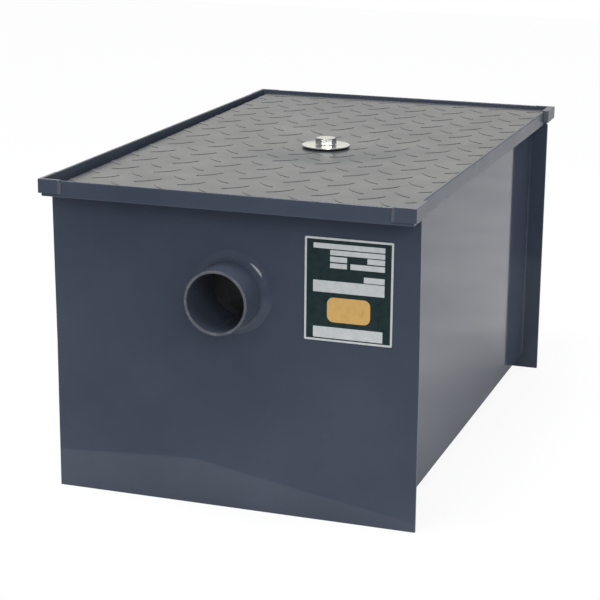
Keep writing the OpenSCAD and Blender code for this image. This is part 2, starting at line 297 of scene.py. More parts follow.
def lathe(name, section, axis, height=0, steps=96):
    """A turned piece: radii and places along an axis, spun once round it, with the seam closed."""
    points = [(radius, along, height) if axis == Y else (radius, 0, along) for radius, along in section]
    piece = start_chain(name, points)
    edit(piece)
    choose_all()
    bpy.ops.mesh.spin(steps=steps, angle=2 * math.pi, center=(0, 0, height), axis=on_axis(axis, 1))
    close_up()
    leave()
    return piece


def merge_doubles():
    """Merges the doubles of the edited mesh."""
    choose_all()
    bpy.ops.mesh.remove_doubles(threshold=DOUBLES)


def close_up():
    """Merges the doubles of the edited mesh and turns its faces outward."""
    merge_doubles()
    bpy.ops.mesh.normals_make_consistent(inside=False)


def use_modifier(piece, kind, **settings):
    """Adds a modifier to a piece and applies it."""
    pick(piece)
    modifier = piece.modifiers.new(kind.lower(), kind)
    for key, value in settings.items():
        setattr(modifier, key, value)
    bpy.ops.object.modifier_apply(modifier=modifier.name)


def cut_with(piece, cutter, operation='DIFFERENCE'):
    """Cuts a piece with another one, which is then removed."""
    use_modifier(piece, 'BOOLEAN', object=cutter, operation=operation, solver='EXACT')
    remove(cutter)


def round_edges(piece, radius, segments=2, test=lambda edge: True):
    """Rounds the edges of a piece that pass a test."""
    edit(piece)
    choose(piece, 'EDGE', test)
    bpy.ops.mesh.bevel(offset=radius, segments=segments, affect='EDGES')
    leave()


def soften(piece, width, segments=3, angle=SMOOTH_ANGLE):
    """Rounds the edges of a piece that fold by more than an angle."""
    use_modifier(piece, 'BEVEL', width=width, segments=segments, limit_method='ANGLE', angle_limit=angle)


def cut_rows(piece, axis, pitch):
    """Cuts a sheet into rows across one axis, about a pitch apart."""
    length = piece.dimensions[axis]
    edit(piece)
    choose(piece, 'EDGE', lambda edge: runs_along(edge, axis) and edge.calc_length() > length / 2)
    bpy.ops.mesh.subdivide(number_cuts=max(1, round(length / pitch) - 1))
    leave()


def wave(piece, direction, height, spread, group=""):
    """Pushes a piece in and out along a direction in soft waves."""
    texture = bpy.data.textures.new(piece.name + "_wave", 'CLOUDS')
    texture.noise_scale = spread
    texture.noise_depth = 1
    use_modifier(
        piece, 'DISPLACE', texture=texture, texture_coords='LOCAL', direction=direction,
        strength=height, mid_level=0.5, vertex_group=group)


def push(piece, direction, distance, share):
    """Pushes the vertices of a piece along an axis, each by a share of a distance that its place gives."""
    group = piece.vertex_groups.new(name="push")
    for vertex in piece.data.vertices:
        group.add([vertex.index], share(vertex.co), 'REPLACE')
    use_modifier(
        piece, 'DISPLACE', direction=direction, strength=distance, mid_level=0.0, vertex_group="push")
    piece.vertex_groups.clear()


def rearward(place, half):
    """A share that runs from zero at the front edge to one at the rear edge."""
    return 0.5 + 0.5 * place.y / half


def start_sheet(node, across, direction):
    """A slightly wavy sheet in a node's box, with rounded edges."""
    size = sizes()
    sheet = start_block(node + "_sheet", *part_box(node))
    round_edges(sheet, size.sheet_edge)
    cut_rows(sheet, across, size.sheet_pitch)
    cut_rows(sheet, Z, size.sheet_pitch)
    wave(sheet, direction, size.sheet_wave, size.wave_spread)
    return sheet


def copy_of(piece, name):
    """A copy of a piece with a mesh of its own."""
    pick(piece)
    bpy.ops.object.duplicate(linked=False)
    twin = bpy.context.object
    twin.name = name
    twin.data.name = name
    return twin


def mirrored(piece, name, axis):
    """A copy of a piece, mirrored across the plane through the origin."""
    twin = copy_of(piece, name)
    twin.scale[axis] = -1
    fix_place()
    edit(twin)
    choose_all()
    bpy.ops.mesh.normals_make_consistent(inside=False)
    leave()
    return twin


def turned(piece, angle):
    """Turns a piece about the upright axis through the origin."""
    pick(piece)
    piece.rotation_euler[Z] = angle
    fix_place()


def join(first, *others):
    """Joins pieces into the first one."""
    pick(first, *others)
    bpy.ops.object.join()
    return first


def dress(piece, finish, slot, body, *nodes):
    """Smooths and paints a finished piece, lets it ride on its body and stand for its nodes."""
    if finish is not None:
        piece.data.materials.clear()
        piece.data.materials.append(finish)
    pick(piece)
    bpy.ops.object.shade_smooth_by_angle(angle=SMOOTH_ANGLE)
    use_modifier(piece, 'WEIGHTED_NORMAL', keep_sharp=True)
    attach(piece, body)
    if nodes:
        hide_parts(*nodes)


def repaint(node, finish):
    """Gives a node of the frame a better material."""
    materials = frame["nodes"][node].data.materials
    materials.clear()
    materials.append(finish)


# Finishes

# Scale, detail and roughness of each cloudy noise
MOTTLE = (7.0, 4.0, 0.6)
GLOSS_PATCHES = (22.0, 3.0, 0.6)
WELD_SPECKS = (420.0, 3.0, 0.6)
MOUTH_SPECKS = (90.0, 3.0, 0.6)
ZINC_PATCHES = (60.0, 2.0, 0.5)
TURNING_MARKS = (900.0, 2.0, 0.5)
SHEET_DUST = (12.0, 3.0, 0.6)
RUBBER_BLOOM = (45.0, 4.0, 0.6)
RUBBER_GRAIN = (1400.0, 2.0, 0.5)
PRINT_WEAR = (160.0, 4.0, 0.65)
PAPER_FIBRE = (60.0, 3.0, 0.6)
FLOOR_PATCHES = (7.0, 3.0, 0.5)
ROOM_PATCHES = (14.0, 2.0, 0.5)
SPANGLE_SCALE = 70.0

# Range of a noise over which a finish changes
MIDDLE = (0.3, 0.7)
NARROW = (0.35, 0.65)
UPPER = (0.35, 0.7)
WIDE = (0.2, 0.8)

# Roughness of each finish, from its smoothest patches to its roughest
SLATE_GLOSS = (0.05, 0.08)
TREAD_GLOSS = (0.24, 0.32)
BAR_GLOSS = (0.24, 0.30)
CAP_GLOSS = (0.26, 0.40)
STUB_GLOSS = (0.07, 0.30)
ZINC_GLOSS = (0.22, 0.30)
SHEET_GLOSS = (0.38, 0.55)
RUBBER_GLOSS = (0.62, 0.8)
PRINT_GLOSS = (0.26, 0.38)
PAPER_ROUGHNESS = 0.9

# Wear on the cap welds and the paler colour round the pipe mouths: how far each reaches, and how it comes in
# specks
WELD_REACH = 0.0024
MOUTH_REACH = 0.0014
SPECK_RANGE = (0.35, 0.6)
SPECK_PALENESS = (0.35, 1.0)

# Print fades by a share and a haze, and the paper's fibre is a little darker than its ground
PRINT_FADE = 1.15
PRINT_HAZE = 0.004
FIBRE_SHADE = 0.98

ENAMEL_IOR = 1.5
SHEET_METALLIC = 0.3


class NodeTree:
    """The node tree of a material or world under construction, with short calls for its nodes."""

    def __init__(self, owner, coordinates):
        owner.use_nodes = True
        self.nodes = owner.node_tree.nodes
        self.links = owner.node_tree.links
        self.place = self.add('ShaderNodeTexCoord').outputs[coordinates]

    def add(self, kind, **settings):
        """A new node with these settings."""
        node = self.nodes.new(kind)
        for key, value in settings.items():
            setattr(node, key, value)
        return node

    def feed(self, socket, value):
        """Links a value to a socket, or sets it there where it is constant."""
        if isinstance(value, bpy.types.NodeSocket):
            self.links.new(value, socket)
        else:
            socket.default_value = value

    def feed_all(self, node, *values):
        """Feeds values to the first sockets of a node, in order."""
        for socket, value in zip(node.inputs, values):
            self.feed(socket, value)

    def feed_named(self, node, **sockets):
        """Feeds values to the named sockets of a node."""
        for key, value in sockets.items():
            self.feed(node.inputs[key.replace("_", " ")], value)

    def maths(self, operation, *values):
        """The result of an operation on numbers."""
        node = self.add('ShaderNodeMath', operation=operation)
        self.feed_all(node, *values)
        return node.outputs["Value"]

    def vectors(self, operation, *values):
        """The result of an operation on vectors."""
        node = self.add('ShaderNodeVectorMath', operation=operation)
        self.feed_all(node, *values)
        return node.outputs["Value" if operation == 'DOT_PRODUCT' else "Vector"]

    def parts(self, vector):
        """The X, Y and Z of a vector."""
        node = self.add('ShaderNodeSeparateXYZ')
        self.feed_all(node, vector)
        return node.outputs

    def noise(self, scale, detail, rough):
        """Cloudy noise."""
        node = self.add('ShaderNodeTexNoise')
        self.feed_named(node, Vector=self.place, Scale=scale, Detail=detail, Roughness=rough)
        return node.outputs["Fac"]

    def spread(self, value, low, high, to_low=0.0, to_high=1.0):
        """Maps a value from one range to another."""
        node = self.add('ShaderNodeMapRange')
        self.feed_all(node, value, low, high, to_low, to_high)
        return node.outputs["Result"]

    def shade(self, value, low, high, dark, light):
        """Runs from one colour to another as a value goes from low to high."""
        node = self.add('ShaderNodeValToRGB')
        for stop, position, colour in zip(node.color_ramp.elements, (low, high), (dark, light)):
            stop.position = position
            stop.color = (*colour, 1)
        self.feed_all(node, value)
        return node.outputs["Color"]

    def mix(self, share, first, second):
        """Mixes two colours; a share of one is all the second."""
        node = self.add('ShaderNodeMix', data_type='RGBA')
        for index, value in ((0, share), (6, first), (7, second)):
            self.feed(node.inputs[index], value)
        return node.outputs[2]

    def blend(self, share, first, second):
        """Mixes two shaders; a share of one is all the second."""
        node = self.add('ShaderNodeMixShader')
        self.feed_all(node, share, first, second)
        return node.outputs["Shader"]

    def sight(self):
        """Whether a ray comes from the eye, and whether it comes from gloss or glass."""
        rays = self.add('ShaderNodeLightPath').outputs
        gloss = self.maths('MAXIMUM', rays["Is Glossy Ray"], rays["Is Transmission Ray"])
        return rays["Is Camera Ray"], gloss


class Finish(NodeTree):
    """A material under construction, on the piece's own coordinates."""

    def __init__(self, name):
        self.material = bpy.data.materials.new(name)
        super().__init__(self.material, "Object")
        self.shader = self.nodes["Principled BSDF"]

    def cells(self, scale):
        """The random shades of crystal cells."""
        node = self.add('ShaderNodeTexVoronoi')
        self.feed_named(node, Vector=self.place, Scale=scale)
        return node.outputs["Color"]

    def bump(self, value, distance, strength):
        """Raises the surface a little by a value."""
        node = self.add('ShaderNodeBump')
        self.feed_named(node, Height=value, Distance=distance, Strength=strength)
        return node.outputs["Normal"]

    def paint(self, **sockets):
        """Feeds values to the shader's sockets."""
        self.feed_named(self.shader, **sockets)


def finish_of(name, maker, *values):
    """The named finish, made the first time that it is asked for."""
    found = bpy.data.materials.get(name)
    return found if found else maker(name, *values)


def slate():
    """The two shades of the slate enamel."""
    return colours().enamel_dark, colours().enamel_light


def make_enamel(name, dark, light, gloss):
    """Enamel: slow mottling and a gloss that changes in patches."""
    look = Finish(name)
    look.paint(
        Base_Color=look.shade(look.noise(*MOTTLE), *NARROW, dark, light),
        Roughness=look.spread(look.noise(*GLOSS_PATCHES), *MIDDLE, *gloss),
        IOR=ENAMEL_IOR)
    return look.material


def make_pale_specked(name, place, reach, specks, pale, gloss):
    """Slate enamel, paler and rougher in specks where a piece is near a place across or along the tank: wear
    on the cap welds, a paler mouth on the stubs.
    """
    look = Finish(name)
    off = look.vectors('SUBTRACT', look.vectors('ABSOLUTE', look.place), (*place, 0))
    apart = look.parts(look.vectors('ABSOLUTE', off))
    near = look.spread(look.maths('MINIMUM', apart["X"], apart["Y"]), reach / 2, reach, 1.0, 0.0)
    specked = look.maths('MULTIPLY', near, look.spread(look.noise(*specks), *SPECK_RANGE, *SPECK_PALENESS))
    coat = look.shade(look.noise(*MOTTLE), *NARROW, *slate())
    look.paint(
        Base_Color=look.mix(specked, coat, (*pale, 1)),
        Roughness=look.spread(specked, 0.0, 1.0, *gloss),
        IOR=ENAMEL_IOR)
    return look.material


def make_zinc(name):
    """Bright zinc plate with faint turning marks and patches."""
    look = Finish(name)
    patch = look.noise(*ZINC_PATCHES)
    look.paint(
        Base_Color=look.shade(patch, *MIDDLE, colours().zinc_dark, colours().zinc_light),
        Metallic=1.0,
        Roughness=look.spread(patch, *MIDDLE, *ZINC_GLOSS),
        Normal=look.bump(look.noise(*TURNING_MARKS), distance=0.0001, strength=0.03))
    return look.material


def make_galvanised(name):
    """Dull galvanised sheet with its crystal spangle."""
    look = Finish(name)
    crystals = look.cells(SPANGLE_SCALE)
    look.paint(
        Base_Color=look.shade(crystals, *WIDE, colours().spangle_dark, colours().spangle_light),
        Metallic=SHEET_METALLIC,
        Roughness=look.spread(look.noise(*SHEET_DUST), *MIDDLE, *SHEET_GLOSS),
        Normal=look.bump(crystals, distance=0.0002, strength=0.10))
    return look.material


def make_rubber(name):
    """Matt black rubber with a dusty bloom."""
    look = Finish(name)
    bloom = look.noise(*RUBBER_BLOOM)
    look.paint(
        Base_Color=look.shade(bloom, *UPPER, colours().rubber_dark, colours().rubber_light),
        Roughness=look.spread(bloom, *MIDDLE, *RUBBER_GLOSS),
        Normal=look.bump(look.noise(*RUBBER_GRAIN), distance=0.0002, strength=0.2))
    return look.material


def make_print(name, colour):
    """Satin printing on the nameplate, a little worn and uneven."""
    look = Finish(name)
    wear = look.noise(*PRINT_WEAR)
    faded = [PRINT_FADE * c + PRINT_HAZE for c in colour]
    look.paint(
        Base_Color=look.shade(wear, *UPPER, colour, faded),
        Roughness=look.spread(wear, *MIDDLE, *PRINT_GLOSS),
        Normal=look.bump(wear, distance=0.0001, strength=0.06))
    return look.material


def enamel():
    return finish_of("slate_enamel", make_enamel, *slate(), SLATE_GLOSS)


# The cover's enamel: its lighter, greyer shades carry a painted reflection, and its gloss is rougher than
# the tank's
def tread_enamel():
    return finish_of("tread_enamel", make_enamel, colours().tread_dark_painted_reflection, colours().tread_light_painted_reflection, TREAD_GLOSS)


def bar_enamel():
    return finish_of("bar_enamel", make_enamel, *slate(), BAR_GLOSS)


def cap_enamel():
    free_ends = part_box("rear_right_cap")[0].xy
    return finish_of(
        "cap_enamel", make_pale_specked, free_ends, WELD_REACH, WELD_SPECKS, colours().weld_worn, CAP_GLOSS)


def stub_enamel():
    # The stubs are paler only at their mouths, so the place across the tank lies far outside it
    mouth = (1.0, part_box("outlet_pipe")[1].y)
    return finish_of(
        "stub_enamel", make_pale_specked, mouth, MOUTH_REACH, MOUTH_SPECKS, colours().enamel_mouth_pale, STUB_GLOSS)


def zinc():
    return finish_of("zinc_plate", make_zinc)


def galvanised():
    return finish_of("galvanised_sheet", make_galvanised)


def rubber():
    return finish_of("black_rubber", make_rubber)


# Pieces

class TRAP_OT_end_plates(bpy.types.Operator):
    """Model the two end plates, slightly wavy, with round holes for the pipe stubs"""

    bl_idname = "trap.end_plates"
    bl_label = "End plates"

    # How far the drill runs past a plate, in heights of its waves
    DRILL_WAVES = 5

    def execute(self, context):
        size = sizes()
        for node in ("inlet_end_plate", "outlet_end_plate"):
            low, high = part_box(node)
            plate = start_sheet(node, X, 'Y')
            if node == "inlet_end_plate":
                middle = (low.z + high.z) / 2
                push(
                    plate, 'X', -size.plate_lean,
                    lambda place: max(0.0, place.z - middle) / (high.z - middle))
            margin = self.DRILL_WAVES * size.sheet_wave
            drill = start_rod(
                "drill", STUB_RADIUS, (0, low.y - margin, STUB_HEIGHT), (0, high.y + margin, STUB_HEIGHT), Y)
            cut_with(plate, drill)
            dress(plate, enamel(), "enamel", "tank", node)
        return {'FINISHED'}


class TRAP_OT_side_walls(bpy.types.Operator):
    """Model the two side walls, slightly wavy, and paint the bottom plate"""

    bl_idname = "trap.side_walls"
    bl_label = "Side walls"

    def execute(self, context):
        for node in ("left_side_wall", "right_side_wall"):
            wall = start_sheet(node, Y, 'X')
            dress(wall, enamel(), "enamel", "tank", node)
        repaint("bottom_plate", enamel())
        return {'FINISHED'}


class TRAP_OT_corner_beads(bpy.types.Operator):
    """Run a weld bead down each corner between the side walls and the end plates"""

    bl_idname = "trap.corner_beads"
    bl_label = "Corner weld beads"

    def execute(self, context):
        size = sizes()
        radius = size.bead_radius
        wall_low, wall_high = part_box("right_side_wall")
        foot = Vector((wall_high.x, wall_low.y, wall_low.z + radius))
        head = Vector((wall_high.x, wall_low.y, wall_high.z - radius))
        bead = start_rod("front_right_bead", radius, foot, head, Z, vertices=16)
        round_edges(
            bead, radius / 2, test=lambda edge: abs(edge.verts[0].co.z - edge.verts[1].co.z) < radius)
        cut_rows(bead, Z, radius * 2)
        names = (("rear_right_bead", Y), ("front_left_bead", X))
        beads = [bead] + [mirrored(bead, name, axis) for name, axis in names]
        beads.append(mirrored(beads[1], "rear_left_bead", X))
        for bead in beads:
            wave(bead, 'NORMAL', size.weld_lump, radius * 3)
            dress(bead, enamel(), "enamel", "tank")
        return {'FINISHED'}


class TRAP_OT_rim_bars(bpy.types.Operator):
    """Model the four angle bars of the rim, the side bars butted between the end bars"""

    bl_idname = "trap.rim_bars"
    bl_label = "Rim bars"

    # What counts as the left bar's upright, in thicknesses from its outer face
    UPRIGHT_REACH = 1.4
    # What counts as the top of a bar, from the fold up
    TOP_REACH = 0.005

    def angle(self, name, low, high, fold, axis):
        """An angle bar: a ledge with an upright flange raised along its outer edge."""
        thick = fold - low.z
        outer, step = (low, 1) if axis == X else (high, -1)
        across = Y if axis == X else X
        line = outer[across] + step * thick
        bar = start_block(name, low, (high.x, high.y, fold))
        edit(bar)
        choose_all()
        bpy.ops.mesh.bisect(plane_co=on_axis(across, line), plane_no=on_axis(across, 1))
        choose(
            bar, 'FACE',
            lambda f: f.normal.z > FACING and step * (f.calc_center_median()[across] - line) < 0)
        extrude((0, 0, high.z - fold))
        return bar

    def smooth(self, bar, axis):
        """Rounds the edges of a bar and cuts it into rows."""
        leave()
        soften(bar, sizes().bar_edge)
        cut_rows(bar, axis, sizes().sheet_pitch)

    def end_bar(self, fold):
        """The front bar, which runs over the full width."""
        low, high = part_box("front_rim_bar")
        past = Vector((sizes().bar_past, 0, 0))
        bar = self.angle("front_rim_angle", low - past, high + past, fold, X)
        self.smooth(bar, X)
        return bar

    def side_bar(self, fold):
        """The right bar; only its upright runs on over the ledges of the end bars."""
        low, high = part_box("right_rim_bar")
        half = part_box("rear_rim_bar")[0].y
        bar = self.angle(
            "right_rim_angle", Vector((low.x, -half, low.z)), Vector((high.x, half, high.z)), fold, Y)
        for side in (1, -1):
            choose(bar, 'FACE', lambda f: side * f.normal.y > FACING and f.calc_center_median().z > fold)
            extrude((0, side * (high.y - half), 0))
        self.smooth(bar, Y)
        return bar

    def execute(self, context):
        size = sizes()
        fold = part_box("cover_gasket")[0].z
        front = self.end_bar(fold)
        rear = copy_of(front, "rear_rim_angle")
        turned(rear, math.pi)
        right = self.side_bar(fold)
        left = mirrored(right, "left_rim_angle", X)
        bars = (
            (front, "front_rim_bar", 'Y'), (rear, "rear_rim_bar", 'Y'),
            (right, "right_rim_bar", 'X'), (left, "left_rim_bar", 'X'))
        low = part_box("left_rim_bar")[0]
        upright = low.x + self.UPRIGHT_REACH * (fold - low.z)
        for bar, node, direction in bars:
            if bar is left:
                push(bar, 'X', -size.bar_shift, lambda place: 1.0 if place.x < upright else 0.0)
            if bar in (left, rear):
                push(bar, 'Z', size.bar_raise, lambda place: 1.0 if place.z > fold + self.TOP_REACH else 0.0)
            wave(bar, direction, size.bar_wave, size.wave_spread / 2)
            dress(bar, enamel() if bar in (front, rear) else bar_enamel(), "enamel", "tank", node)
        return {'FINISHED'}


class TRAP_OT_corner_caps(bpy.types.Operator):
    """Model the folded cap over each corner of the rim, welded on along its free ends"""

    bl_idname = "trap.corner_caps"
    bl_label = "Corner caps"

    # How far the cutters of a cap run past it
    ROOM = 0.001

    def fold(self, name, shift):
        """A cap over the rear right corner, for a side bar whose upright stands outward by a shift."""
        size = sizes()
        low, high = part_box("rear_right_cap")
        rim_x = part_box("right_rim_bar")[1].x + shift
        rim_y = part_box("rear_rim_bar")[1].y
        rim_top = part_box("rear_rim_bar")[1].z
        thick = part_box("cover_gasket")[0].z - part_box("rear_rim_bar")[0].z
        inner_x = min(rim_x, high.x - size.cap_wall)
        room = self.ROOM
        cap = start_block(name, low, high)
        hollow = start_block(
            "hollow", (low.x - room, low.y - room, low.z - room), (inner_x, rim_y, rim_top))
        cut_with(cap, hollow)
        window = start_block(
            "window", (low.x - room, low.y - room, rim_top - room),
            (rim_x - thick, rim_y - thick, high.z + room))
        cut_with(cap, window)
        soften(cap, size.cap_edge)
        radius = size.cap_bead
        beads = []
        side_x = min(inner_x, high.x - radius - size.weld_lump / 2)
        for place in ((low.x, rim_y), (side_x, low.y)):
            bead = start_rod("bead", radius, (*place, low.z), (*place, rim_top - radius), Z, vertices=12)
            cut_rows(bead, Z, radius)
            wave(bead, 'NORMAL', size.weld_lump, radius * 2)
            beads.append(bead)
        return join(cap, *beads)

    def execute(self, context):
        right = self.fold("rear_right_fold", 0.0)
        left = self.fold("left_fold", sizes().bar_shift)
        caps = {"rear_right_cap": right}
        caps["front_right_cap"] = mirrored(right, "front_right_fold", Y)
        caps["rear_left_cap"] = mirrored(left, "rear_left_fold", X)
        caps["front_left_cap"] = mirrored(caps["rear_left_cap"], "front_left_fold", Y)
        remove(left)
        for node, piece in caps.items():
            dress(piece, cap_enamel(), "enamel", "tank", node)
        return {'FINISHED'}


class TRAP_OT_pipe_stubs(bpy.types.Operator):
    """Turn the two pipe stubs, each with the weld that flares into its end plate"""

    bl_idname = "trap.pipe_stubs"
    bl_label = "Pipe stubs"

    # Share of the mouth's rounding at which its middle point stands
    ROUNDING = 0.3
    # What counts as weld, from the outside of the pipe outward
    WELD_START = 0.0002

    def execute(self, context):
        size = sizes()
        low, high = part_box("inlet_pipe")
        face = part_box("inlet_end_plate")[0].y
        leg = size.weld_leg
        edge = size.mouth_edge
        bury = size.weld_bury
        turn = [math.radians(a) for a in range(0, 91, 15)]
        fillet = [
            (STUB_RADIUS + leg - leg * math.cos(a), face - leg + leg * math.sin(a)) for a in turn]
        part = edge * self.ROUNDING
        section = [
            (BORE_RADIUS, high.y), (BORE_RADIUS, low.y + edge), (BORE_RADIUS + part, low.y + part),
            (BORE_RADIUS + edge, low.y), (STUB_RADIUS - edge, low.y),
            (STUB_RADIUS - part, low.y + part), (STUB_RADIUS, low.y + edge)]
        section += fillet
        section += [
            (STUB_RADIUS + leg + 2 * bury, face + bury), (STUB_RADIUS, face + 2 * bury),
            (STUB_RADIUS, high.y), (BORE_RADIUS, high.y)]
        stub = lathe("inlet_stub_pipe", section, Y, STUB_HEIGHT)
        outlet = mirrored(stub, "outlet_stub_pipe", Y)
        for piece, node in ((stub, "inlet_pipe"), (outlet, "outlet_pipe")):
            weld = piece.vertex_groups.new(name="weld")
            reach = [
                v.index for v in piece.data.vertices
                if math.hypot(v.co.x, v.co.z - STUB_HEIGHT) > STUB_RADIUS + self.WELD_START]
            weld.add(reach, 1.0, 'REPLACE')
            wave(piece, 'NORMAL', size.weld_lump, leg * 1.5, "weld")
            dress(piece, stub_enamel(), "enamel", "tank", node)
        return {'FINISHED'}


class TRAP_OT_nameplate(bpy.types.Operator):
    """Model the blank nameplate with its pale border, pale fields and yellow field"""

    bl_idname = "trap.nameplate"
    bl_label = "Nameplate"

    # Left, right, top and bottom of each pale field, in shares of the plate from its top left corner
    FIELDS = (
        (0.098, 0.905, 0.055, 0.105), (0.288, 0.905, 0.115, 0.163), (0.288, 0.480, 0.177, 0.228),
        (0.288, 0.480, 0.240, 0.287), (0.708, 0.905, 0.172, 0.223), (0.518, 0.905, 0.234, 0.287),
        (0.672, 0.905, 0.349, 0.405), (0.098, 0.905, 0.412, 0.525), (0.102, 0.892, 0.860, 0.968))
    YELLOW_FIELD = (0.26, 0.75, 0.57, 0.81)
    # How far the ink stands over the plate, and how far each corner is rounded
    INK = 0.00004
    PLATE_CORNER = 0.0012
    FIELD_CORNER = 0.0003
    YELLOW_CORNER = 0.006

    def field(self, share, finish, corner):
        """A printed field: a very thin patch on the plate's face, with rounded corners."""
        low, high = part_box("nameplate")
        left, right, top, bottom = share
        wide = high.x - low.x
        tall = high.z - low.z
        patch = start_block(
            "field", (low.x + left * wide, low.y - self.INK, high.z - bottom * tall),
            (low.x + right * wide, low.y + self.INK, high.z - top * tall))
        round_edges(patch, corner, segments=5, test=lambda edge: runs_along(edge, Y))
        patch.data.materials.append(finish)
        return patch

    def execute(self, context):
        size = sizes()
        colour = colours()
        green = make_print("plate_green_print", colour.plate_green)
        pale = make_print("plate_pale_print", colour.plate_pale)
        yellow = make_print("plate_yellow_print", colour.plate_yellow)
        low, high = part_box("nameplate")
        plate = start_block("nameplate_sheet", low, high)
        plate.data.materials.append(green)
        plate.data.materials.append(pale)
        edit(plate)
        choose(plate, 'FACE', lambda f: f.normal.y < -FACING)
        bpy.ops.mesh.inset(thickness=size.plate_border)
        bpy.ops.mesh.select_all(action='INVERT')
        plate.active_material_index = 1
        bpy.ops.object.material_slot_assign()
        leave()
        round_edges(plate, self.PLATE_CORNER, segments=4, test=lambda edge: runs_along(edge, Y))
        fields = [self.field(share, pale, self.FIELD_CORNER) for share in self.FIELDS]
        fields.append(self.field(self.YELLOW_FIELD, yellow, self.YELLOW_CORNER))
        join(plate, *fields)
        dress(plate, None, "nameplate", "tank", "nameplate")
        return {'FINISHED'}


class TRAP_OT_cover(bpy.types.Operator):
    """Model the cover: a plate with raised tread lugs, pulled down a little by its bolt"""

    bl_idname = "trap.cover"
    bl_label = "Cover"

    HOLE_RADIUS = 0.00715
    # How far a lug's foot goes into the plate, and the chamfer round its top
    LUG_FOOT = 0.0004
    LUG_CHAMFER = 0.0001
    # Straight edges along each long side of a lug
    LUG_STEPS = 8
    # Rows of the cover, in shares of those of the other sheets
    ROW_SHARE = 0.75

    def lug(self, angle):
        """A tread lug at the origin: a lens with steep sides, a chamfered top and its foot in the plate."""
        size = sizes()
        foot = self.LUG_FOOT
        chamfer = self.LUG_CHAMFER
        half_length = size.lug_length / 2
        half_width = size.lug_width / 2
        radius = (half_length ** 2 + half_width ** 2) / size.lug_width
        reach = math.asin(half_length / radius)
        arc = [
            (radius * math.sin(a), radius * math.cos(a) - radius + half_width)
            for a in (reach * (2 * k / self.LUG_STEPS - 1) for k in range(self.LUG_STEPS))]
        outline = [(x, y, -foot) for x, y in arc] + [(-x, -y, -foot) for x, y in arc]
        lug = start_chain("lug", outline + outline[:1])
        edit(lug)
        merge_doubles()
        choose_all()
        bpy.ops.mesh.edge_face_add()
        extrude((0, 0, size.lug_height + foot - chamfer))
        bpy.ops.mesh.inset(thickness=2 * chamfer, depth=0)
        bpy.ops.transform.translate(value=(0, 0, chamfer))
        close_up()
        leave()
        turned(lug, angle)
        return lug

    def family(self, angle, first, half, plane, pad):
        """Copies of one lug on a grid, trimmed to the cover and to the pad under the washer."""
        size = sizes()
        columns = math.ceil(half.x / size.lug_pitch[X]) + 1
        rows = math.ceil(half.y / size.lug_pitch[Y]) + 1
        start = Vector((first[X] - columns * size.lug_pitch[X], first[Y] - rows * size.lug_pitch[Y]))
        lugs = self.lug(angle)
        lugs.location = (start.x, start.y, plane)
        pick(lugs)
        fix_place()
        for axis, count in ((X, 2 * columns + 1), (Y, 2 * rows + 1)):
            use_modifier(
                lugs, 'ARRAY', count=count, use_relative_offset=False, use_constant_offset=True,
                constant_offset_displace=on_axis(axis, size.lug_pitch[axis]))

        def spare(vertex):
            middle = [
                start[a] + size.lug_pitch[a] * round((vertex.co[a] - start[a]) / size.lug_pitch[a])
                for a in (X, Y)]
            outside = abs(middle[X]) > half.x or abs(middle[Y]) > half.y
            return outside or math.hypot(*middle) < pad

        edit(lugs)
        choose(lugs, 'VERT', spare)
        bpy.ops.mesh.delete(type='VERT')
        for axis in (X, Y):
            for side in (1, -1):
                choose_all()
                bpy.ops.mesh.bisect(
                    plane_co=on_axis(axis, side * half[axis]), plane_no=on_axis(axis, side), use_fill=True,
                    clear_outer=True)
        leave()
        drill = start_rod("drill", pad, (0, 0, plane - THROUGH), (0, 0, plane + THROUGH), Z)
        cut_with(lugs, drill)
        return lugs

    def execute(self, context):
        size = sizes()
        low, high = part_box("cover")
        pad_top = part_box("rubber_washer")[0].z
        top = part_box("cover_gasket")[1].z + pad_top - low.z
        dish = top - pad_top
        half = Vector((high.x - size.sheet_edge, high.y - size.sheet_edge))
        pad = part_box("steel_washer")[1].x + size.pad_margin
        plate = start_block("tread_cover", (low.x, low.y, low.z + dish), (high.x, high.y, top))
        round_edges(plate, size.sheet_edge)
        cut_rows(plate, X, size.sheet_pitch * self.ROW_SHARE)
        cut_rows(plate, Y, size.sheet_pitch * self.ROW_SHARE)
        drill = start_rod("drill", self.HOLE_RADIUS, (0, 0, low.z - THROUGH), (0, 0, top + THROUGH), Z)
        cut_with(plate, drill)
        first = Vector(size.lug_shift)
        second = first + Vector(size.lug_pitch) / 2
        rising = self.family(math.pi / 4, first, half, top, pad)
        falling = self.family(-math.pi / 4, second, half, top, pad)
        join(plate, rising, falling)

        def sunk(place):
            share = (size.dish_radius - math.hypot(place.x, place.y)) / (size.dish_radius - pad)
            share = min(1.0, max(0.0, share))
            return share * share * (3 - 2 * share)

        push(plate, 'Z', -dish, sunk)
        wave(plate, 'Z', size.sheet_wave, size.wave_spread)
        push(plate, 'Z', -size.cover_drop, lambda place: 1.0)
        push(plate, 'Z', size.cover_drop + size.cover_rise, lambda place: rearward(place, high.y))
        dress(plate, tread_enamel(), "enamel", "cover", "cover")
        return {'FINISHED'}


class TRAP_OT_gasket(bpy.types.Operator):
    """Model the gasket strip, squeezed more at the inlet end than at the outlet end"""

    bl_idname = "trap.gasket"
    bl_label = "Cover gasket"

    def execute(self, context):
        size = sizes()
        low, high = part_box("cover_gasket")
        middle = (low.z + high.z) / 2
        inner_x = high.x - size.gasket_width
        inner_y = high.y - size.gasket_width
        strip = start_block("gasket_strip", low, high)
        window = start_block(
            "window", (-inner_x, -inner_y, low.z - THROUGH), (inner_x, inner_y, high.z + THROUGH))
        cut_with(strip, window)
        round_edges(strip, size.gasket_edge, test=lambda edge: edge.calc_face_angle(0.0) > SMOOTH_ANGLE)
        push(strip, 'Z', -size.cover_drop, lambda place: 1.0 if place.z > middle else 0.0)
        push(
            strip, 'Z', size.cover_drop + size.cover_rise,
            lambda place: rearward(place, high.y) if place.z > middle - size.cover_drop else 0.0)
        dress(strip, rubber(), "rubber", "tank", "cover_gasket")
        return {'FINISHED'}


